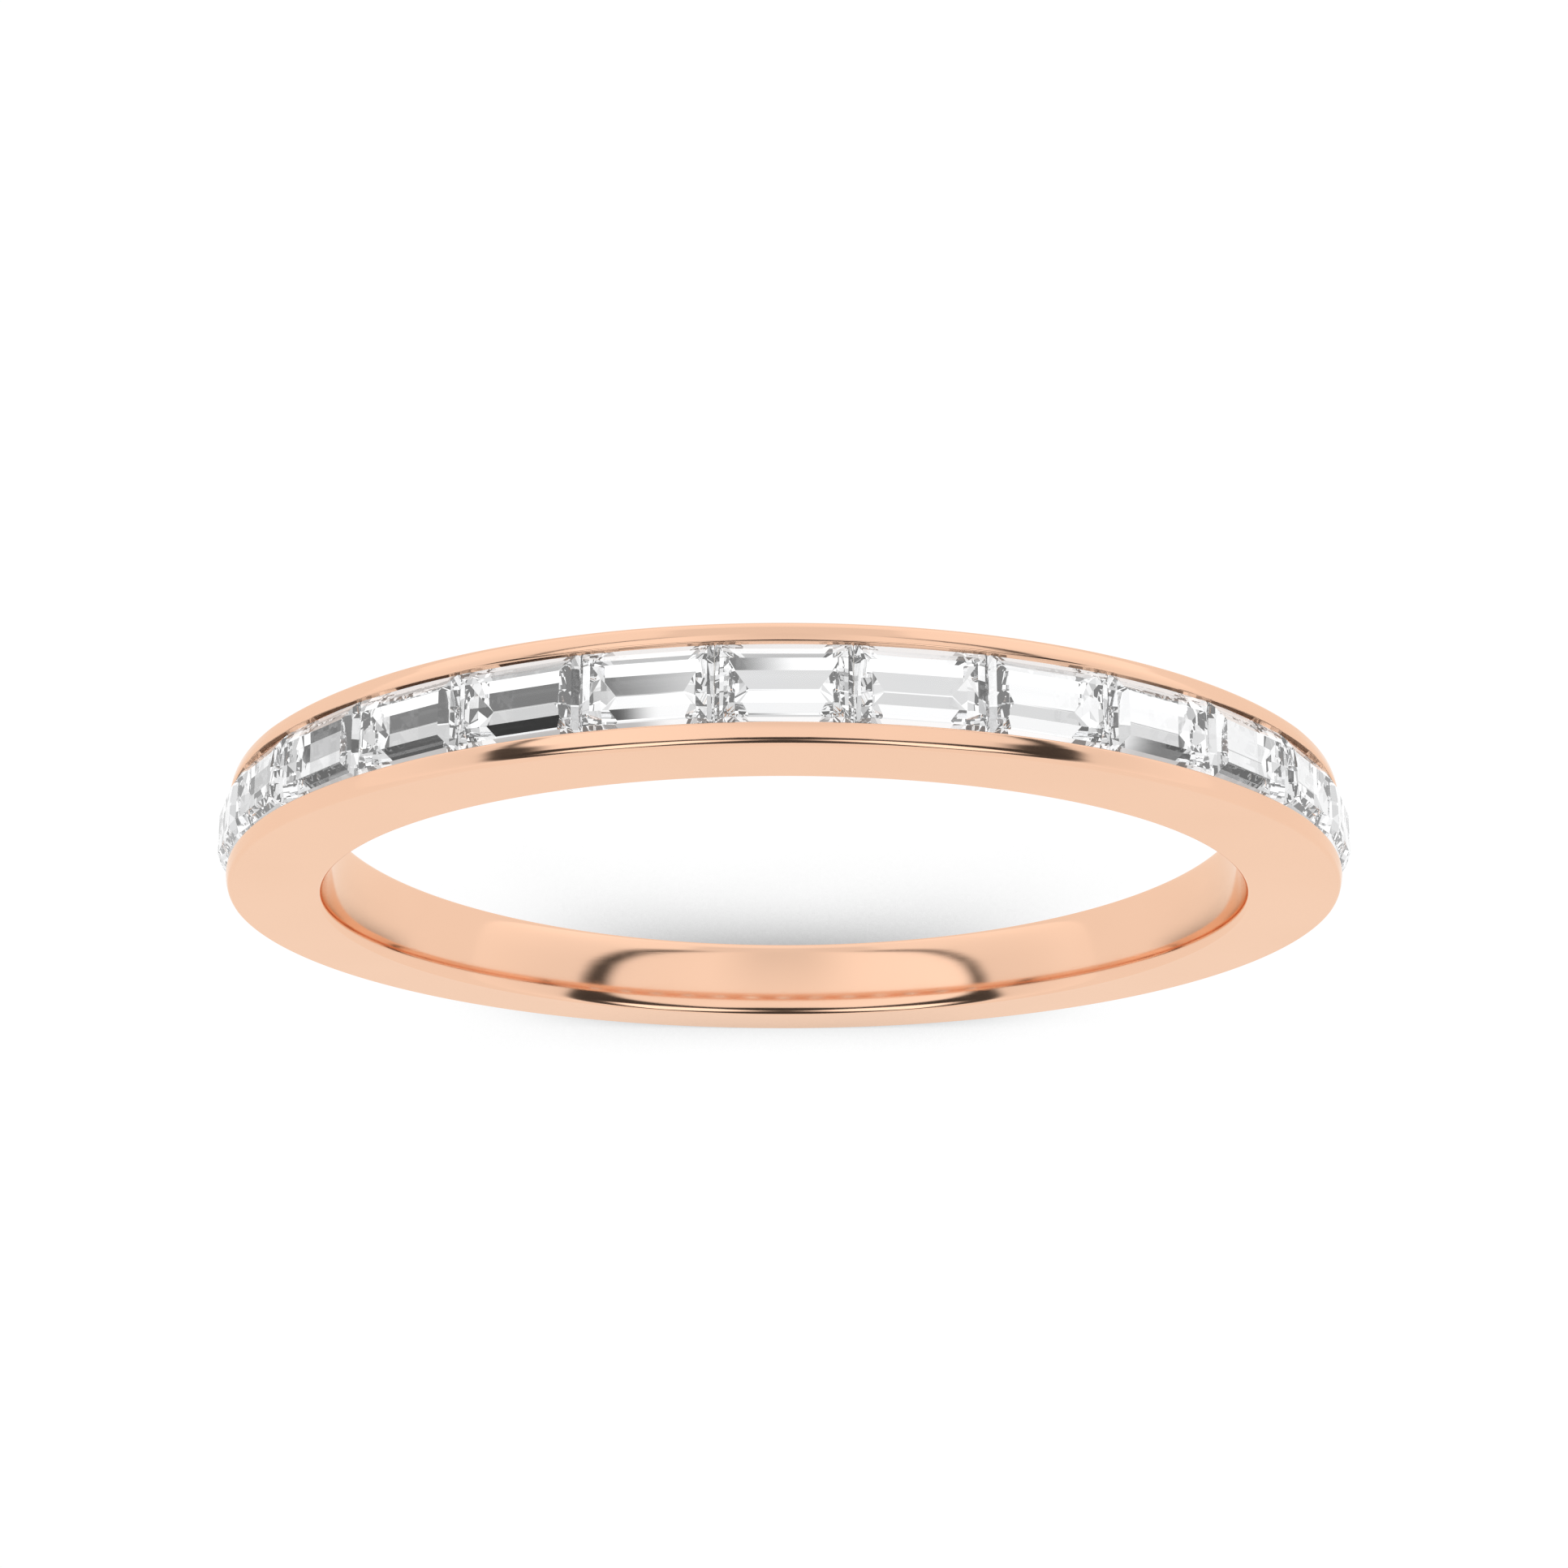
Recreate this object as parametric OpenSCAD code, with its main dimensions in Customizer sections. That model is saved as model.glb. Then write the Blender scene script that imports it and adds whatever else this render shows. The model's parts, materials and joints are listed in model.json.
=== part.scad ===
// Channel-set wedding band: a polished shank that carries a row of baguette diamonds,
// set end to end in a channel between two rims over the upper part of the ring.
//
// Frame: the ring stands upright. The origin is the centre of the finger hole, Y runs along
// the hole's axis with the front face towards -Y, and +Z points to the middle stone.

/* [Finger hole] */
// Inside diameter of the ring, 17.3 being a US size 7
bore_d = 17.3; // [15:0.1:21]
// Length of the straight part of the hole, between the flares at its two ends
straight_l = 0.84; // [0.6:0.04:1.2]
// Radius of the comfort curve by which the hole flares towards its ends
flare_r = 1; // [0.8:0.1:2]

/* [Band] */
// Width of the band at its top
width_top = 2.09; // [2:0.01:2.3]
// Width of the band at its bottom
width_bottom = 1.53; // [1.5:0.01:2]
// Thickness of the wall at the rims, along the row of stones
wall_top = 1.96; // [1.9:0.01:2.1]
// Thickness of the wall at the two sides of the ring, beyond the row
wall_side = 1.8; // [1.7:0.01:1.9]
// Thickness of the wall at the bottom of the shank
wall_bottom = 1.5; // [1.2:0.05:1.7]
// Radius that rounds the outer edges of the rims
outer_round = 0.16; // [0.08:0.02:0.2]

/* [Stones] */
// Number of stones in the row
stone_count = 13; // [5:2:15]
// Length of a stone along the row
stone_l = 2.23; // [2:0.01:2.3]
// Width of a stone across the row
stone_w = 1.44; // [1.4:0.01:1.5]
// Gap between neighbouring stones at the girdle
stone_gap = 0.015; // [0.01:0.005:0.06]
// Length of the flat top facet, the table
table_l = 1.76; // [1.5:0.02:1.8]
// Width of the table
table_w = 0.76; // [0.6:0.01:0.9]
// Height of the middle of a table above the bore's wall
table_height = 1.99; // [1.97:0.01:2.03]

/* [Channel] */
// Clear width between the two rims
channel_w = 1.36; // [1.32:0.02:1.38]
// Diameter of the light hole below each stone
light_hole_d = 0.8; // [0.5:0.05:0.9]

/* [Hidden] */
$fn = 96;
overlap = 1;             // how far cutters run past the surface that they cut
fit_gap = 0.02;          // clearance between a stone and its seat
ledge_overlap = 0.02;    // how far the ledges reach under a stone's girdle
slot_room = 0.015;       // room in the slot above a stone's ends and below its girdle
groove_room = 0.15;      // depth of the groove's floor below the keels
hole_overshoot = 0.2;    // how far a light hole's cutter runs past the groove's floor

bore_r = bore_d / 2;
rim_r = bore_r + wall_top;

// The shank's outside is one circle through the two sides and the bottom of the ring. Its
// centre is lifted, and in the upper half it runs above the rims.
side_r = bore_r + wall_side;
bottom_r = bore_r + wall_bottom;
shank_lift = (side_r * side_r / bottom_r - bottom_r) / 2;
shank_r = bottom_r + shank_lift;

// Heights of a stone's facet steps, measured down from its table
crown_upper_h = 0.125;
crown_h = 0.255;
girdle_h = 0.03;
step_1_depth = 0.27;
step_2_depth = 0.33;
keel_depth = 0.28;
girdle_top = -crown_h;
girdle_bottom = girdle_top - girdle_h;
step_1_z = girdle_bottom - step_1_depth;
step_2_z = step_1_z - step_2_depth;
keel_z = step_2_z - keel_depth;

// How far those steps lie in from the girdle, on the long sides and at the ends
crown_side_inset = 0.14;
crown_end_inset = 0.08;
step_1_side_inset = 0.16;
step_1_end_inset = 0.135;
step_2_side_inset = 0.44;
step_2_end_inset = 0.325;
keel_end_inset = 0.545;

// Half widths and half lengths of a stone at those heights
girdle_half_w = stone_w / 2;
girdle_half_l = stone_l / 2;
crown_step_half_w = girdle_half_w - crown_side_inset;
crown_step_half_l = girdle_half_l - crown_end_inset;
step_1_half_w = girdle_half_w - step_1_side_inset;
step_1_half_l = girdle_half_l - step_1_end_inset;
step_2_half_w = girdle_half_w - step_2_side_inset;
step_2_half_l = girdle_half_l - step_2_end_inset;
keel_half_w = 0.01;
keel_half_l = girdle_half_l - keel_end_inset;

// Where the row of stones lies in the ring
table_r = bore_r + table_height;
girdle_r = table_r - crown_h;
pitch = 2 * atan((girdle_half_l + stone_gap / 2) / girdle_r);
row_half_angle = stone_count / 2 * pitch + asin(fit_gap / girdle_r);

// Levels of the seat that is cut into the channel's walls, as radii from the bore's axis.
// The seat is curved and a stone is straight, so its slot also holds the stone's raised ends.
stone_end_r = norm([girdle_r, girdle_half_l]);
slot_top_r = stone_end_r + slot_room;
slot_bottom_r = table_r + girdle_bottom - slot_room;
slot_half_w = girdle_half_w + fit_gap;
ledge_half_w = girdle_half_w - ledge_overlap;
groove_floor_r = table_r + keel_z - groove_room;
groove_half_w = 0.46;

function two_digits(n) = str(n < 10 ? "0" : "", n);
function stone_name(n) = str("diamond_", two_digits(n));

// Turns a profile of [radius, along the axis] about the ring's own axis, Y, with its
// start at the top of the ring
module turn_about_y(angle = 360) {
    rotate([90, 0, 0])
        rotate([0, 0, 90 - angle / 2])
            rotate_extrude(angle = angle)
                children();
}

// Puts a child that is drawn at the top of the ring at its place in the row of stones,
// the first stone being on the left
module at_stone(n) {
    rotate([0, (n - (stone_count + 1) / 2) * pitch, 0])
        children();
}

// Solid disc that carries the rims, with its two edges rounded
module rim_disc() {
    corner_r = rim_r - outer_round;
    corner_y = width_top / 2 - outer_round;
    turn_about_y() {
        translate([0, -width_top / 2])
            square([corner_r, width_top]);
        translate([0, -corner_y])
            square([rim_r, 2 * corner_y]);
        for (side = [-1, 1])
            translate([corner_r, side * corner_y])
                circle(r = outer_round);
    }
}

// Solid disc that gives the shank its outside
module shank_disc() {
    translate([0, 0, shank_lift])
        turn_about_y()
            translate([0, -width_top / 2 - overlap])
                square([shank_r, width_top + 2 * overlap]);
}

// Block between the two flat faces, which come closer together towards the bottom
module taper_block() {
    narrowing = (width_top - width_bottom) / (rim_r + bottom_r);
    block_top = rim_r + overlap;
    block_bottom = -bottom_r - overlap;
    top_half_w = (width_top + narrowing * overlap) / 2;
    bottom_half_w = (width_bottom - narrowing * overlap) / 2;
    rotate([90, 0, 90])
        linear_extrude(height = 2 * block_top, center = true)
            polygon([
                [-bottom_half_w, block_bottom],
                [bottom_half_w, block_bottom],
                [top_half_w, block_top],
                [-top_half_w, block_top]
            ]);
}

// Finger hole, straight in the middle and flared by a comfort curve at both ends. It is
// turned by half a stone, so that points spaced evenly round its wall from its seam fall
// between the light holes.
module finger_hole() {
    half_l = width_top / 2 + overlap;
    flare_start = straight_l / 2;
    rotate([0, pitch / 2, 0])
        turn_about_y() {
            translate([0, -half_l])
                square([bore_r, 2 * half_l]);
            for (side = [-1, 1])
                scale([1, side])
                    difference() {
                        translate([0, flare_start])
                            square([bore_r + flare_r, flare_r]);
                        translate([bore_r + flare_r, flare_start])
                            circle(r = flare_r);
                    }
        }
}

// One half of the channel's outline: the gap between the rims, the slot that grips the
// girdles, and a tapered groove below it that leaves the stones' undersides free
function channel_half() = [
    [groove_floor_r, groove_half_w],
    [slot_bottom_r, ledge_half_w],
    [slot_bottom_r, slot_half_w],
    [slot_top_r, slot_half_w],
    [slot_top_r, channel_w / 2],
    [rim_r + overlap, channel_w / 2]
];

module channel() {
    half = channel_half();
    last = len(half) - 1;
    turn_about_y(2 * row_half_angle)
        polygon(concat(
            half,
            [for (i = [last : -1 : 0]) [half[i][0], -half[i][1]]]
        ));
}

// Holes from the finger hole to the groove, one below each stone
module light_holes() {
    for (n = [1 : stone_count])
        at_stone(n)
            translate([0, 0, bore_r - overlap])
                cylinder(d = light_hole_d, h = groove_floor_r - bore_r + overlap + hole_overshoot);
}

module band() {
    color([0.93, 0.72, 0.6])
        difference() {
            intersection() {
                rim_disc();
                shank_disc();
                taper_block();
            }
            finger_hole();
            channel();
            light_holes();
        }
}

// Outline of a stone seen along one of its sides, from the table down to the keel
module facet_outline(table, crown_step, girdle, step_1, step_2, keel) {
    right = [
        [table, 0],
        [crown_step, -crown_upper_h],
        [girdle, girdle_top],
        [girdle, girdle_bottom],
        [step_1, step_1_z],
        [step_2, step_2_z],
        [keel, keel_z]
    ];
    last = len(right) - 1;
    polygon(concat(
        right,
        [for (i = [last : -1 : 0]) [-right[i][0], right[i][1]]]
    ));
}

// Step-cut baguette with its table at z = 0 and its length along X. Its facets are what is
// left where the outline seen from the side and the outline seen from the end meet.
module baguette() {
    intersection() {
        rotate([90, 0, 0])
            linear_extrude(height = 2 * stone_w, center = true)
                facet_outline(table_l / 2, crown_step_half_l, girdle_half_l,
                    step_1_half_l, step_2_half_l, keel_half_l);
        rotate([90, 0, 90])
            linear_extrude(height = 2 * stone_l, center = true)
                facet_outline(table_w / 2, crown_step_half_w, girdle_half_w,
                    step_1_half_w, step_2_half_w, keel_half_w);
    }
}

module diamond(n) {
    color([0.94, 0.95, 0.97, 0.8])
        at_stone(n)
            translate([0, 0, table_r])
                baguette();
}

band();
for (n = [1 : stone_count])
    diamond(n);
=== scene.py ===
import json
import math

import bpy
import numpy as np
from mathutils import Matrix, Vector


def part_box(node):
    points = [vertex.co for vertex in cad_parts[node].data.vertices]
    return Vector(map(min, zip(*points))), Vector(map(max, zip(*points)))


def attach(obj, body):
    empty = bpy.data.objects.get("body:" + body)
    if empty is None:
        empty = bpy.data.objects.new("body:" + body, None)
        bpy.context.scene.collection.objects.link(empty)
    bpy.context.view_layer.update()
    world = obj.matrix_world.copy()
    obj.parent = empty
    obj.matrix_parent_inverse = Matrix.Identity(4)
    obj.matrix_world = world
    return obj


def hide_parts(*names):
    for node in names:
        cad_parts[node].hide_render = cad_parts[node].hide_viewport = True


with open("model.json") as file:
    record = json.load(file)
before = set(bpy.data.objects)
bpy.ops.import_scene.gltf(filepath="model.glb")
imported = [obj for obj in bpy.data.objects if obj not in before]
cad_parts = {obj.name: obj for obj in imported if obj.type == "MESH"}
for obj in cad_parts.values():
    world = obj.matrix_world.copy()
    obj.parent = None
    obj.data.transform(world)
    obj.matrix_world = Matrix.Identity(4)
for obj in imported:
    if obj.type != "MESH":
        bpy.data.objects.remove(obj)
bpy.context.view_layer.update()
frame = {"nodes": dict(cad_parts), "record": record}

MM = 0.001
STONES = sorted(name for name in frame["nodes"] if name.startswith("diamond_"))

# ---------------------------------------------------------------- sizes in mm, from the frame
mounts = {m["name"]: m for m in frame["record"]["mounts"]}
front_face = mounts["front_face"]
band_lo, band_hi = (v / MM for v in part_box("band"))
BORE_R = mounts["finger_hole"]["dims"]["r_mm"]
RIM_R = band_hi.z
# The shank's outside is one circle about a lifted centre, and above the sides of the ring
# the rims' own circle about the bore's axis lies inside it.
SHANK_R = band_hi.x
LIFT = SHANK_R + band_lo.z
# The two faces are planes that come closer together towards the bottom.
TAPER = front_face["axis"][2] / front_face["axis"][1]
FACE_Y = abs(front_face["pos_m"][1]) / MM
FACE_Z = front_face["pos_m"][2] / MM


def stone_angle(name):
    """Angle of a stone about the bore's axis, from the top towards +X."""
    verts = frame["nodes"][name].data.vertices
    middle = sum((v.co for v in verts), Vector()) / len(verts)
    return math.atan2(middle.x, middle.z)


MIDDLE_STONE = len(STONES) // 2
mid_lo, mid_hi = (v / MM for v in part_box(STONES[MIDDLE_STONE]))
TABLE_R = mid_hi.z
KEEL_R = mid_lo.z
STONE_HALF_L = (mid_hi.x - mid_lo.x) / 2
STONE_HALF_W = (mid_hi.y - mid_lo.y) / 2
PITCH = stone_angle(STONES[MIDDLE_STONE + 1])
ROW_END_ROOM = 0.002  # radians past the last stone at each end of the row
ROW_HALF_ANGLE = len(STONES) / 2 * PITCH + ROW_END_ROOM

# ---------------------------------------------------------------- band's cross-section, in mm
CHANNEL_HALF = 0.68
CHANNEL_ROUND = 0.04
CHANNEL_EDGE = CHANNEL_HALF + CHANNEL_ROUND
RIM_SLOPE = math.radians(15)
BOTTOM_ROUNDING = 0.25  # size of the outer rounding at the bottom, as a share of that at the top
CROWN_H = 0.255
GIRDLE_H = 0.03
SEAT_ROOM = 0.015
FIT_GAP = 0.02
LEDGE_OVERLAP = 0.02
GROOVE_ROOM = 0.15
SLOT_HALF = STONE_HALF_W + FIT_GAP
LEDGE_HALF = STONE_HALF_W - LEDGE_OVERLAP
GIRDLE_R = TABLE_R - CROWN_H
SLOT_TOP = math.hypot(GIRDLE_R, STONE_HALF_L) + SEAT_ROOM
SLOT_BOTTOM = GIRDLE_R - GIRDLE_H - SEAT_ROOM
GROOVE_FLOOR = KEEL_R - GROOVE_ROOM
GROOVE_HALF = 0.46
LIGHT_HOLE_R = 0.4
STRIP_HALF = 0.43  # half width of the strip of the bore's wall that the light holes pierce

# How many faces each stretch of the band is cut into, round the ring and across its section
STONE_STEPS = 24
PLAIN_STEPS = 300
COMFORT_CUTS = 40
FACE_CUTS = 4
FILLET_CUTS = 32
SLOPE_CUTS = 12
BEND_CUTS = 8
HALF_CUTS = 4


def half_width(z):
    """Half of the band's width at a height."""
    return FACE_Y + TAPER * (z - FACE_Z)


def outside_r(angle):
    """Radius of the band's outside at an angle from the top, and its slope."""
    s, c = math.sin(angle), math.cos(angle)
    root = math.sqrt(SHANK_R ** 2 - (LIFT * s) ** 2)
    shank = LIFT * c + root
    if shank > RIM_R:
        return RIM_R, 0.0
    return shank, -LIFT * s - LIFT ** 2 * s * c / root


def look_up(value, values, results):
    """Result for a value, from a table whose values rise."""
    return float(np.interp(value, values, results))


def curve_path(tilt, radius):
    """Distances that a curve runs along the direction where its tilt is 0 and across it, up
    to each of its points, from the tilts and radii of curvature there."""
    middle_r = (radius[1:] + radius[:-1]) / 2
    middle_t = (tilt[1:] + tilt[:-1]) / 2
    step = np.diff(tilt)
    along = np.concatenate([[0], np.cumsum(middle_r * np.cos(middle_t) * step)])
    across = np.concatenate([[0], np.cumsum(middle_r * np.sin(middle_t) * step)])
    return along, across


def comfort_table(steps=600):
    """Inner edge of the band, which rolls over from the bore's wall to the face ever more
    tightly. Gives tilts, distances in from the face and rises above the bore."""
    tilt = np.radians(90 * np.linspace(0, 1, steps) ** 2)
    in_fives = np.degrees(np.maximum(tilt, 1e-6)) / 5
    radius = np.minimum(4.0, 3.9 * in_fives ** -1.6)
    along, rise = curve_path(tilt, radius)
    return tilt, along[-1] - along, rise


def rim_slope_table(steps=60, full_tilt=0.75):
    """Top of a rim, level beside the channel and sloping down towards the face, with its
    whole tilt from the share full_tilt on. Gives shares of its width, tilts, and drops as
    shares of its width."""
    share = np.linspace(0, 1, steps)
    rise = np.clip(share / full_tilt, 0, 1)
    tilt = RIM_SLOPE * rise * rise * (3 - 2 * rise)
    slope = np.tan(tilt)
    drop = np.concatenate([[0], np.cumsum((slope[1:] + slope[:-1]) / 2 * np.diff(share))])
    return share, tilt, drop


def fillet_table(steps=200):
    """Rounding between a rim's top and the face, tightest in its middle. Gives tilts,
    distances in from the face and heights above the place where the face starts."""
    tilt = np.linspace(RIM_SLOPE, math.pi / 2, steps)
    radius = np.interp(np.degrees(tilt), (15, 28, 42, 62, 90), (0.32, 0.2, 0.09, 0.1, 0.3))
    along, fall = curve_path(tilt, radius)
    return tilt, along[-1] - along, fall[-1] - fall


TILT, INSET, RISE = comfort_table()
SLOPE_SHARE, SLOPE_TILT, SLOPE_DROP = rim_slope_table()
FILLET_TILT, FILLET_INSET, FILLET_HEIGHT = fillet_table()


class Ray:
    """Half-plane through the bore's axis at an angle from the top, on one side of the
    mid-plane. Makes points of the band's section there and their normals."""

    def __init__(self, angle, side):
        self.s, self.c, self.side = math.sin(angle), math.cos(angle), side
        self.r_out, slope = outside_r(angle)
        tangent = slope / self.r_out
        length = math.hypot(1, tangent)
        self.out = ((self.s - self.c * tangent) / length, 0.0,
                    (self.c + self.s * tangent) / length)
        self.radial = (self.s, 0.0, self.c)
        length = math.hypot(1, TAPER)
        self.face = (0.0, side / length, -TAPER / length)
        self.across = (0.0, side, 0.0)

    def point(self, r, y, *parts):
        """Point at a radius and distance from the mid-plane, its normal being a weighted sum."""
        n = [sum(w * v[i] for w, v in parts) for i in range(3)]
        length = math.sqrt(sum(v * v for v in n))
        return ((r * self.s, self.side * y, r * self.c), tuple(v / length for v in n))

    def width(self, r):
        """Half of the band's width at a radius."""
        return half_width(r * self.c)

    def on_bore(self, y):
        """Point of the bore's wall at a distance from the mid-plane."""
        tilt = look_up(y - self.width(BORE_R), -INSET, TILT)
        rise = look_up(tilt, TILT, RISE)
        return self.point(BORE_R + rise, y, (-math.cos(tilt), self.radial),
                          (math.sin(tilt), self.face))

    def on_top(self, y):
        """Point of the band's outside at a distance from the mid-plane."""
        return self.point(self.r_out, y, (1, self.out))


def flat(ray, ends, normal, cuts=1):
    """Points of a straight line between two (radius, y) pairs, all with one normal."""
    (r0, y0), (r1, y1) = ends
    return [ray.point(r0 + (r1 - r0) * i / cuts, y0 + (y1 - y0) * i / cuts, *normal)
            for i in range(cuts + 1)]


def comfort_span(ray):
    """Inner edge of the band, from the strip with the light holes to the face."""
    start = look_up(STRIP_HALF - ray.width(BORE_R), -INSET, TILT)
    span = []
    for k in range(COMFORT_CUTS + 1):
        tilt = start + (TILT[-1] - start) * (k / COMFORT_CUTS) ** 1.6
        r = BORE_R + look_up(tilt, TILT, RISE)
        y = ray.width(r) - look_up(tilt, TILT, INSET) if k else STRIP_HALF
        span.append(ray.point(r, y, (-math.cos(tilt), ray.radial), (math.sin(tilt), ray.face)))
    return span


def fillet_span(ray, r_face, scale):
    """Rounding from the face, which ends at radius r_face, to a rim's top."""
    y_face = ray.width(ray.r_out)
    span = []
    for k in range(FILLET_CUTS + 1):
        tilt = math.pi / 2 + (RIM_SLOPE - math.pi / 2) * k / FILLET_CUTS
        inset = look_up(tilt, FILLET_TILT, FILLET_INSET) * scale
        height = look_up(tilt, FILLET_TILT, FILLET_HEIGHT) * scale
        span.append(ray.point(r_face + height, y_face - inset if k else ray.width(r_face),
                              (math.cos(tilt), ray.out), (math.sin(tilt), ray.face)))
    return span


def slope_span(ray, width):
    """Sloping top of a rim, from the rounding to the channel's edge."""
    span = []
    for k in range(SLOPE_CUTS + 1):
        share = 1 - k / SLOPE_CUTS
        tilt = look_up(share, SLOPE_SHARE, SLOPE_TILT)
        drop = look_up(share, SLOPE_SHARE, SLOPE_DROP)
        span.append(ray.point(ray.r_out - drop * width, CHANNEL_EDGE + width * share,
                              (math.cos(tilt), ray.out), (math.sin(tilt), ray.face)))
    return span


def skin(ray):
    """Spans from the bore's wall round the face to the edge of the channel."""
    scale = BOTTOM_ROUNDING + (1 - BOTTOM_ROUNDING) * max(ray.c, 0) ** 0.7
    slope_w = ray.width(ray.r_out) - FILLET_INSET[0] * scale - CHANNEL_EDGE
    r_face = ray.r_out - slope_w * SLOPE_DROP[-1] - FILLET_HEIGHT[0] * scale
    r_in = BORE_R + RISE[-1]
    face = flat(ray, ((r_in, ray.width(r_in)), (r_face, ray.width(r_face))),
                [(1, ray.face)], FACE_CUTS)
    return [comfort_span(ray), face, fillet_span(ray, r_face, scale), slope_span(ray, slope_w)]


def channel_spans(ray):
    """Spans from the edge of the channel down to the groove's floor."""
    bend = []
    for k in range(BEND_CUTS + 1):
        a = math.pi / 2 * k / BEND_CUTS
        bend.append(ray.point(ray.r_out - CHANNEL_ROUND * (1 - math.cos(a)),
                              CHANNEL_EDGE - CHANNEL_ROUND * math.sin(a),
                              (math.cos(a), ray.out), (-math.sin(a), ray.across)))
    inward, down, up = [(-1, ray.across)], [(-1, ray.radial)], [(1, ray.radial)]
    rise, run = SLOT_BOTTOM - GROOVE_FLOOR, LEDGE_HALF - GROOVE_HALF
    corners = [(ray.r_out - CHANNEL_ROUND, CHANNEL_HALF), (SLOT_TOP, CHANNEL_HALF),
               (SLOT_TOP, SLOT_HALF), (SLOT_BOTTOM, SLOT_HALF), (SLOT_BOTTOM, LEDGE_HALF),
               (GROOVE_FLOOR, GROOVE_HALF)]
    normals = [inward, down, inward, up, [(-rise, ray.across), (run, ray.radial)]]
    return [bend] + [flat(ray, ends, n) for ends, n in zip(zip(corners, corners[1:]), normals)]


class Shell:
    """Faces with a normal of their own at every corner, joined where corners coincide."""

    def __init__(self):
        self.points, self.index, self.faces, self.normals = [], {}, [], []

    def corner(self, point):
        """Number of a corner, the same for points that agree to five decimals."""
        key = tuple(round(v * 1e5) for v in point)
        if key not in self.index:
            self.index[key] = len(self.points)
            self.points.append(point)
        return self.index[key]

    def face(self, corners):
        """Adds a face, given as (point, normal) pairs, that looks along its normals."""
        flow = Vector()
        for i in range(len(corners)):
            flow += Vector(corners[i - 1][0]).cross(Vector(corners[i][0]))
        if flow.dot(Vector(corners[0][1]) + Vector(corners[len(corners) // 2][1])) < 0:
            corners = corners[::-1]
        loop, normals = [], []
        for point, normal in corners:
            i = self.corner(point)
            if i not in loop:
                loop.append(i)
                normals.append(normal)
        if len(loop) > 2:
            self.faces.append(loop)
            self.normals += normals

    def rows(self, rows):
        """Adds the faces between neighbouring rows of points."""
        for a, b in zip(rows, rows[1:]):
            for i in range(len(a) - 1):
                self.face([a[i], a[i + 1], b[i + 1], b[i]])

    def build(self, name):
        mesh = bpy.data.meshes.new(name)
        mesh.from_pydata([[v * MM for v in p] for p in self.points], [], self.faces)
        mesh.shade_smooth()
        mesh.normals_split_custom_set(self.normals)
        mesh.update()
        obj = bpy.data.objects.new(name, mesh)
        bpy.context.collection.objects.link(obj)
        return obj


def sweep(shell, angles, spans_at):
    """Adds the faces between the sections at these angles, on both sides."""
    for side in (-1, 1):
        sections = [spans_at(Ray(angle, side)) for angle in angles]
        for spans in zip(*sections):
            shell.rows(spans)


def window(shell, middle, surface, half_w, side_cuts=2 * HALF_CUTS):
    """Strip of a surface, one stone long, with the light hole left open in its middle.
    surface(angle, y) gives a point and normal. Returns the hole's edge."""
    border = []
    for k in range(STONE_STEPS):
        border.append((PITCH * (k / STONE_STEPS - 0.5), half_w))
    for k in range(side_cuts):
        border.append((PITCH / 2, half_w * (1 - 2 * k / side_cuts)))
    for k in range(STONE_STEPS):
        border.append((PITCH * (0.5 - k / STONE_STEPS), -half_w))
    for k in range(side_cuts):
        border.append((-PITCH / 2, half_w * (2 * k / side_cuts - 1)))
    s, c = math.sin(middle), math.cos(middle)
    outer, edge = [], []
    for angle, border_y in border:
        outer.append(surface(middle + angle, border_y))
        radius = math.hypot(*outer[-1][0][::2])
        turn = math.atan2(border_y, radius * angle)
        x, y = LIGHT_HOLE_R * math.cos(turn), LIGHT_HOLE_R * math.sin(turn)
        point, normal = surface(middle + math.asin(x / radius), y)
        height = math.sqrt(math.hypot(*point[::2]) ** 2 - x * x)
        place = (x * c + height * s, y, height * c - x * s)
        inward = (-math.cos(turn) * c, -math.sin(turn), math.cos(turn) * s)
        edge.append((place, normal, inward))
    for i in range(len(outer)):
        shell.face([outer[i - 1], outer[i], edge[i][:2], edge[i - 1][:2]])
    return edge


def bore_surface(angle, y):
    side = 1 if y > 0 else -1
    return Ray(angle, side).on_bore(abs(y))


def groove_surface(angle, y):
    ray = Ray(angle, 1)
    return ray.point(GROOVE_FLOOR, y, (1, ray.radial))


def light_hole(shell, middle):
    """Bore's wall and groove's floor below one stone, and the hole between them."""
    low = window(shell, middle, bore_surface, STRIP_HALF)
    high = window(shell, middle, groove_surface, GROOVE_HALF)
    for i in range(len(low)):
        shell.face([(low[i - 1][0], low[i - 1][2]), (low[i][0], low[i][2]),
                    (high[i][0], high[i][2]), (high[i - 1][0], high[i - 1][2])])


def channel_end(shell, angle):
    """Flat wall that closes the channel at one end of the row."""
    inwards = -1 if angle > 0 else 1
    normal = (inwards * math.cos(angle), 0.0, -inwards * math.sin(angle))
    halves = []
    for side in (-1, 1):
        ray = Ray(angle, side)
        top = [ray.on_top(CHANNEL_EDGE * k / HALF_CUTS) for k in range(HALF_CUTS + 1)]
        floor = flat(ray, ((GROOVE_FLOOR, GROOVE_HALF), (GROOVE_FLOOR, 0)),
                     [(1, ray.radial)], HALF_CUTS)
        spans = [top] + channel_spans(ray) + [floor]
        halves.append([p for span in spans for p, _ in span])
    loop = halves[0] + halves[1][::-1]
    shell.face([(p, normal) for p in loop])


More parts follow.
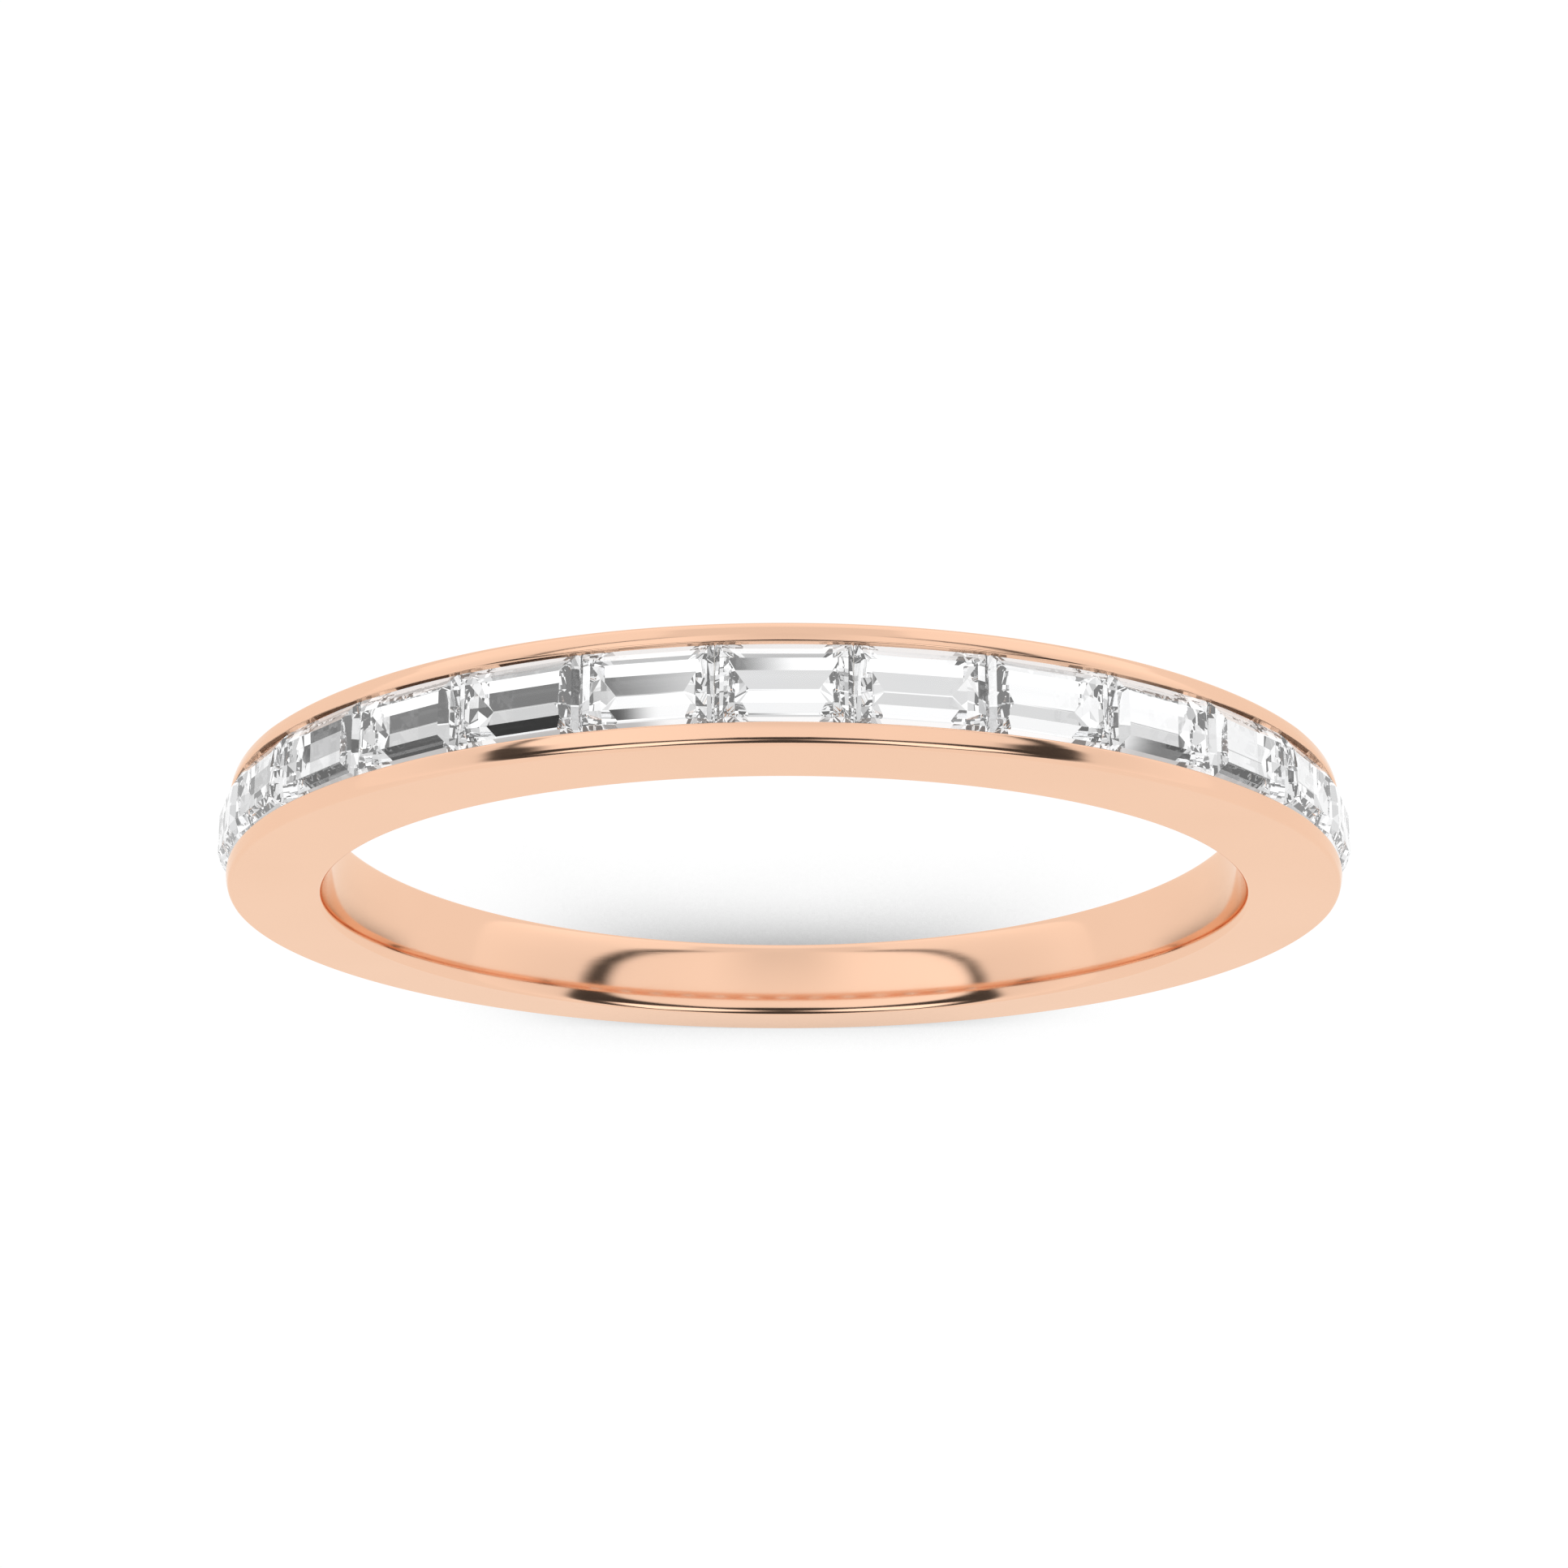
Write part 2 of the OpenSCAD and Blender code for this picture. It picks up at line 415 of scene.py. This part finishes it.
def make_band():
    """The whole cast band, as one closed mesh."""
    shell = Shell()
    a = ROW_HALF_ANGLE
    count = len(STONES)
    row = [PITCH * (k / STONE_STEPS - count / 2) for k in range(count * STONE_STEPS + 1)]
    row = [-a] + row + [a]
    plain = [a + (2 * math.pi - 2 * a) * k / PLAIN_STEPS for k in range(PLAIN_STEPS + 1)]
    shares = [k / HALF_CUTS for k in range(HALF_CUTS + 1)]
    sweep(shell, row, lambda ray: skin(ray) + channel_spans(ray))
    sweep(shell, plain, lambda ray: skin(ray) + [
        [ray.on_bore(STRIP_HALF * share) for share in shares],
        [ray.on_top(CHANNEL_EDGE * share) for share in shares]])
    for angles in (row[:2], row[-2:]):
        sweep(shell, angles, lambda ray: [
            [ray.on_bore(STRIP_HALF * share) for share in shares],
            flat(ray, ((GROOVE_FLOOR, 0), (GROOVE_FLOOR, GROOVE_HALF)),
                 [(1, ray.radial)], HALF_CUTS)])
    for n in range(count):
        light_hole(shell, (n - MIDDLE_STONE) * PITCH)
    for angle in (-a, a):
        channel_end(shell, angle)
    return shell.build("gold_band")


# ---------------------------------------------------------------- node trees
class Graph:
    """Adds nodes to a tree. Its methods take numbers or sockets and give sockets."""

    def __init__(self, tree):
        self.nodes, self.links = tree.nodes, tree.links
        self.nodes.clear()

    def calc(self, op, *inputs):
        node = self.nodes.new("ShaderNodeMath")
        node.operation = op
        for i, v in enumerate(inputs):
            if isinstance(v, (int, float)):
                node.inputs[i].default_value = v
            else:
                self.links.new(v, node.inputs[i])
        return node.outputs[0]

    def between(self, value, low, high, start=0.3, end=0.7):
        """low where value is start or less, high where it is end or more."""
        node = self.nodes.new("ShaderNodeMapRange")
        self.links.new(value, node.inputs["Value"])
        for key, v in (("From Min", start), ("From Max", end), ("To Min", low), ("To Max", high)):
            node.inputs[key].default_value = v
        return node.outputs["Result"]

    def step_up(self, value, start, end):
        """0 below start, 1 above end, smooth in between."""
        node = self.nodes.new("ShaderNodeMapRange")
        node.interpolation_type = "SMOOTHSTEP"
        self.links.new(value, node.inputs["Value"])
        node.inputs["From Min"].default_value = start
        node.inputs["From Max"].default_value = end
        return node.outputs["Result"]

    def blend(self, low, high, share):
        """low where share is 0 and high where it is 1."""
        step = self.calc("MULTIPLY", share, self.calc("SUBTRACT", high, low))
        return self.calc("ADD", low, step)

    def inverse(self, value):
        return self.calc("SUBTRACT", 1.0, value)


class Painter(Graph):
    """Adds nodes to a new material, fed by positions in millimetres in the shared frame."""

    def __init__(self, name):
        self.material = bpy.data.materials.new(name)
        self.material.use_nodes = True
        super().__init__(self.material.node_tree)
        out = self.nodes.new("ShaderNodeOutputMaterial")
        self.shader = self.nodes.new("ShaderNodeBsdfPrincipled")
        self.links.new(self.shader.outputs[0], out.inputs[0])
        coords = self.nodes.new("ShaderNodeTexCoord")
        scale = self.nodes.new("ShaderNodeVectorMath")
        scale.operation = "SCALE"
        scale.inputs["Scale"].default_value = 1 / MM
        self.links.new(coords.outputs["Object"], scale.inputs[0])
        self.place = scale.outputs[0]
        split = self.nodes.new("ShaderNodeSeparateXYZ")
        self.links.new(self.place, split.inputs[0])
        self.x, self.y, self.z = split.outputs

    def noise(self, scale, detail=2.0, stretch=None):
        """Noise with this many features a millimetre, drawn out along an axis if asked."""
        node = self.nodes.new("ShaderNodeTexNoise")
        node.inputs["Scale"].default_value = scale
        node.inputs["Detail"].default_value = detail
        place = self.place
        if stretch:
            mapping = self.nodes.new("ShaderNodeMapping")
            mapping.inputs["Scale"].default_value = stretch
            self.links.new(place, mapping.inputs["Vector"])
            place = mapping.outputs[0]
        self.links.new(place, node.inputs["Vector"])
        return node.outputs[0]

    def colour(self, share, first, second):
        """Mix of two colours, each given as numbers or as a socket."""
        node = self.nodes.new("ShaderNodeMix")
        node.data_type = "RGBA"
        self.links.new(share, node.inputs[0])
        for socket, v in ((node.inputs[6], first), (node.inputs[7], second)):
            if isinstance(v, tuple):
                socket.default_value = (*v, 1)
            else:
                self.links.new(v, socket)
        return node.outputs[2]

    def bump(self, height, depth_mm):
        node = self.nodes.new("ShaderNodeBump")
        node.inputs["Strength"].default_value = 1
        node.inputs["Distance"].default_value = depth_mm * MM
        self.links.new(height, node.inputs["Height"])
        self.links.new(node.outputs[0], self.shader.inputs["Normal"])


# ---------------------------------------------------------------- materials
def seat_mask(p, slack=0.005):
    """1 on the groove and the ledges under the stones, 0 elsewhere on the band."""
    squares = (p.calc("MULTIPLY", p.x, p.x), p.calc("MULTIPLY", p.z, p.z))
    radius = p.calc("SQRT", p.calc("ADD", *squares))
    mask = p.calc("MULTIPLY", p.calc("GREATER_THAN", radius, GROOVE_FLOOR - 2 * slack),
                  p.calc("LESS_THAN", radius, SLOT_BOTTOM + slack))
    off_middle = p.calc("ABSOLUTE", p.y)
    mask = p.calc("MULTIPLY", mask, p.calc("LESS_THAN", off_middle, LEDGE_HALF + slack))
    row_end = p.calc("MULTIPLY", radius, math.cos(ROW_HALF_ANGLE + 0.001))
    return p.calc("MULTIPLY", mask, p.calc("GREATER_THAN", p.z, row_end))


def rose_gold():
    """Polished rose gold with faint clouds in its colour, a few dull wisps and hairline
    scratches, and a brighter plated seat under the stones."""
    p = Painter("rose_gold_polished")
    p.shader.inputs["Metallic"].default_value = 1
    p.shader.inputs["Specular Tint"].default_value = (0.98, 0.90, 0.82, 1)
    clouds = p.between(p.noise(0.35), 0, 1)
    tone = p.colour(clouds, (0.87, 0.556, 0.391), (0.89, 0.574, 0.409))
    plated = p.colour(seat_mask(p), tone, (0.96, 0.95, 0.93))
    p.links.new(plated, p.shader.inputs["Base Color"])
    wisps = p.between(p.noise(2.2, 5.0, (1.0, 3.0, 1.0)), 0.0, 0.025, 0.5, 0.8)
    roughness = p.calc("ADD", p.between(p.noise(0.6), 0.092, 0.104), wisps)
    p.links.new(roughness, p.shader.inputs["Roughness"])
    scratches = p.between(p.noise(7.0, 2.0, (0.25, 4.0, 0.25)), 0.0, 1.0, 0.62, 0.7)
    p.bump(p.calc("ADD", p.calc("MULTIPLY", scratches, -0.25), p.noise(1.1)), 0.00035)
    return p.material


def diamond():
    """Colourless diamond, its facets crossed by the finest of polishing lines."""
    p = Painter("diamond_facets")
    p.shader.inputs["IOR"].default_value = 2.417
    p.shader.inputs["Transmission Weight"].default_value = 1
    # Weaker reflections from the outside of the facets leave their dark bands dark.
    p.shader.inputs["Specular Tint"].default_value = (0.3, 0.3, 0.3, 1)
    # A trace of light inside the stones keeps the paths that never find a way out from
    # ending in black.
    p.shader.inputs["Emission Color"].default_value = (1, 1, 1, 1)
    p.shader.inputs["Emission Strength"].default_value = 0.012
    p.material.cycles.emission_sampling = "NONE"
    tone = p.colour(p.between(p.noise(1.5), 0, 1), (1, 1, 1), (0.985, 0.99, 1))
    p.links.new(tone, p.shader.inputs["Base Color"])
    p.links.new(p.between(p.noise(3.0), 0.0, 0.004), p.shader.inputs["Roughness"])
    p.bump(p.noise(14.0, 2.0, (0.2, 1.0, 0.2)), 0.00002)
    return p.material


band = make_band()
band.data.materials.append(rose_gold())
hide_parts("band")
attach(band, "root")
# Light that leaves a stone passes through the gold to the room, so the stones stay white.
band.visible_transmission = False

crystal = diamond()
for name in STONES:
    for slot in frame["nodes"][name].material_slots:
        slot.material = crystal


# ---------------------------------------------------------------- floor
FLOOR_REACH = 3.0       # metres
SHADE_REACH = 0.015     # metres within which the ring's painted shadow reaches the floor
SHADE_POWER = 1.5
FLOOR_GAIN = 1.62
FLOOR_WHITE = 1.02


def floor_white_painted_shadow():
    """White that gives its own light, with a painted shadow: ambient occlusion from the ring dims
    the glow.
    The occlusion is looked for about a normal tilted to the front, as if the light came mostly
    from there, so the painted shadow lies under and behind the ring."""
    material = bpy.data.materials.new("floor_white_painted_shadow")
    material.use_nodes = True
    g = Graph(material.node_tree)
    # Painted shadow: ambient occlusion by the ring, raised to a power and scaled, sets the
    # floor's glow.
    shade = g.nodes.new("ShaderNodeAmbientOcclusion")
    shade.samples = 12
    shade.inputs["Distance"].default_value = SHADE_REACH
    tilt = g.nodes.new("ShaderNodeCombineXYZ")
    tilt.inputs["Y"].default_value = -0.33
    tilt.inputs["Z"].default_value = 0.94
    g.links.new(tilt.outputs[0], shade.inputs["Normal"])
    level = g.calc("MULTIPLY", g.calc("POWER", shade.outputs["AO"], SHADE_POWER), FLOOR_GAIN)
    white = g.nodes.new("ShaderNodeEmission")
    g.links.new(g.calc("MINIMUM", level, FLOOR_WHITE), white.inputs["Strength"])
    out = g.nodes.new("ShaderNodeOutputMaterial")
    g.links.new(white.outputs[0], out.inputs[0])
    return material


def make_floor(z):
    """One big triangle, which has no edge near the ring for the shade to catch on."""
    mesh = bpy.data.meshes.new("floor")
    mesh.from_pydata([(-2 * FLOOR_REACH, -FLOOR_REACH, z), (2 * FLOOR_REACH, -FLOOR_REACH, z),
                      (0, 2 * FLOOR_REACH, z)], [], [(0, 1, 2)])
    obj = bpy.data.objects.new("floor", mesh)
    bpy.context.collection.objects.link(obj)
    obj.data.materials.append(floor_white_painted_shadow())
    obj.visible_transmission = False
    return obj


floor = make_floor(band_lo.z * MM)

# ---------------------------------------------------------------- light
# All the light comes from the world and the floor. X, Y and Z are the direction looked in,
# to the right, to the back and up.
world = bpy.data.worlds.new("studio")
bpy.context.scene.world = world
world.use_nodes = True
sky = Graph(world.node_tree)
calc, step_up, blend, inverse = sky.calc, sky.step_up, sky.blend, sky.inverse
coords = sky.nodes.new("ShaderNodeTexCoord")
split = sky.nodes.new("ShaderNodeSeparateXYZ")
sky.links.new(coords.outputs["Generated"], split.inputs[0])
X, Y, Z = (split.outputs[i] for i in range(3))


def both(*shares):
    """Product of shares, 1 only where all of them are."""
    result = shares[0]
    for share in shares[1:]:
        result = calc("MULTIPLY", result, share)
    return result


def inside(value, start, end):
    """1 below start, 0 above end, smooth in between."""
    return inverse(step_up(value, start, end))


def oval(x, y, middle, half, soft):
    """1 inside a rounded rectangle on the ceiling plane, 0 outside."""
    reach = []
    for value, centre, size in zip((x, y), middle, half):
        offset = calc("ABSOLUTE", calc("SUBTRACT", value, centre))
        reach.append(calc("POWER", calc("DIVIDE", offset, size), 2.6))
    return inside(calc("ADD", *reach), 1 - soft, 1 + soft)


def studio_level():
    """Room that the gold reflects. It is white all round. Overhead hangs a softbox and in
    front of it a bright window, both in one dark board that reaches down to the front
    horizon. Their places are given on a ceiling plane one unit above the ring."""
    up = calc("MAXIMUM", Z, 0.02)
    x, y = calc("DIVIDE", X, up), calc("DIVIDE", Y, up)
    away = calc("ABSOLUTE", x)
    centre = inside(away, 0.05, 0.4)

    back_light = both(step_up(Y, 0.2, 0.7), blend(0.11, 0.16, step_up(X, 0, 0.6)))
    low_light = both(inside(Z, 0.05, 0.5), 0.09)
    wall = calc("ADD", calc("ADD", 0.98, back_light), low_light)
    back_card = both(inside(away, 0.46, 0.62), inside(y, 1.35, 1.65), step_up(y, 0.4, 0.6))
    wall = blend(wall, 0.925, back_card)

    lean = calc("SUBTRACT", calc("ABSOLUTE", X), calc("MULTIPLY", Z, 1.6))
    lean = calc("ADD", lean, calc("MULTIPLY", Y, 0.33))
    board = both(inside(lean, -0.07, 0.05), inside(y, 0.0, 0.2), step_up(Z, -0.12, 0.0))
    open_back = calc("MAXIMUM", step_up(away, 0.3, 0.65), inside(y, 0.2, 0.5))
    surround = both(oval(x, y, (0.0, 0.1), (1.45, 0.72), 0.25), open_back)
    board = calc("MAXIMUM", board, surround)

    bowed = calc("SUBTRACT", y, calc("MULTIPLY", centre, 0.1))
    softbox = oval(x, bowed, (-0.07, 0.15), (1.17, 0.58), 0.22)
    dip = calc("ADD", 0.05, calc("MULTIPLY", step_up(y, -0.1, 0.6), 0.17))
    softbox_level = calc("SUBTRACT", 1.12, calc("MULTIPLY", x, 0.085))
    softbox_level = calc("SUBTRACT", softbox_level, calc("MULTIPLY", centre, dip))

    top = calc("ADD", calc("ADD", y, 0.62), calc("MULTIPLY", calc("MULTIPLY", x, x), 0.2))
    top = calc("ADD", top, calc("MULTIPLY", centre, 0.13))
    side = calc("ADD", away, calc("MULTIPLY", y, 0.13))
    bottom = calc("SUBTRACT", calc("MULTIPLY", y, -1.0), calc("MULTIPLY", away, 2.25))
    bright = both(inside(top, -0.09, 0.09), inside(side, 0.95, 1.25), inside(bottom, 0.2, 0.9))

    level = blend(wall, 0.06, board)
    level = blend(level, softbox_level, softbox)
    return blend(level, 1.5, bright)


def stones_level():
    """Room that light finds when it leaves a stone: light grey cards in steps from the back
    to the front, dark cards on the left and over the middle, and a floor that is dark in
    two strips beside the middle."""
    rear = blend(0.45, 0.95, step_up(X, 0.0, 0.4))
    middle_card = both(step_up(X, -0.3, -0.2), inside(X, -0.018, 0.008))
    upper = blend(1.08, 0.12, middle_card)
    middle = blend(0.03, 0.68, step_up(X, -0.465, -0.415))
    middle = blend(0.12, middle, step_up(X, -0.68, -0.58))
    middle = blend(middle, 0.95, step_up(X, 0.5, 0.7))
    front = both(blend(0.6, 1.05, step_up(X, -0.6, -0.35)),
                 blend(1.0, 0.6, step_up(X, 0.2, 0.4)))
    room = blend(front, middle, step_up(Y, -0.36, -0.3))
    room = blend(room, upper, step_up(Y, 0.27, 0.33))
    room = blend(room, rear, step_up(Y, 0.58, 0.66))

    low_left = blend(0.8, 0.48, step_up(Y, -0.42, -0.3))
    low_left = blend(low_left, 0.06, step_up(Y, 0.3, 0.38))
    low = blend(low_left, 0.86, step_up(X, -0.76, -0.7))
    room = blend(low, room, step_up(Z, -0.15, 0.0))

    left_strip = both(inside(X, -0.042, -0.028), step_up(X, -0.24, -0.18))
    right_strip = both(step_up(X, 0.072, 0.09), inside(X, 0.18, 0.24))
    strip_level = blend(0.0, 0.5, step_up(Y, -0.05, 0.1))
    below = blend(0.97, strip_level, calc("MAXIMUM", left_strip, right_strip))
    return blend(below, room, step_up(Z, -0.94, -0.91))


path = sky.nodes.new("ShaderNodeLightPath")
level = blend(studio_level(), stones_level(), path.outputs["Is Transmission Ray"])
# The camera sees plain white beyond the floor.
level = calc("MAXIMUM", level, path.outputs["Is Camera Ray"])
background = sky.nodes.new("ShaderNodeBackground")
background.inputs["Color"].default_value = (1, 1, 1, 1)
sky.links.new(level, background.inputs["Strength"])
world_out = sky.nodes.new("ShaderNodeOutputWorld")
sky.links.new(background.outputs[0], world_out.inputs[0])

# ---------------------------------------------------------------- camera
CAMERA_ELEVATION = math.radians(72.274)
CAMERA_DISTANCE = 56.866 * MM
LOOK_AT = Vector((0, 0, 5.177 * MM))
FOCAL_LENGTH = 74.14
SENSOR_WIDTH = 36

camera_data = bpy.data.cameras.new("camera")
camera_data.sensor_width = SENSOR_WIDTH
camera_data.lens = FOCAL_LENGTH
camera_data.clip_start = 0.0005
camera_data.clip_end = 20
camera = bpy.data.objects.new("camera", camera_data)
bpy.context.collection.objects.link(camera)
towards = Vector((0, -math.cos(CAMERA_ELEVATION), math.sin(CAMERA_ELEVATION)))
camera.location = LOOK_AT + towards * CAMERA_DISTANCE
camera.rotation_mode = "QUATERNION"
camera.rotation_quaternion = (-towards).to_track_quat("-Z", "Y")
bpy.context.scene.camera = camera

scene = bpy.context.scene
scene.view_settings.view_transform = "Standard"
scene.view_settings.look = "None"
scene.cycles.max_bounces = 32
scene.cycles.transmission_bounces = 32
scene.cycles.glossy_bounces = 12
scene.cycles.diffuse_bounces = 4
scene.cycles.caustics_reflective = True
scene.cycles.caustics_refractive = True
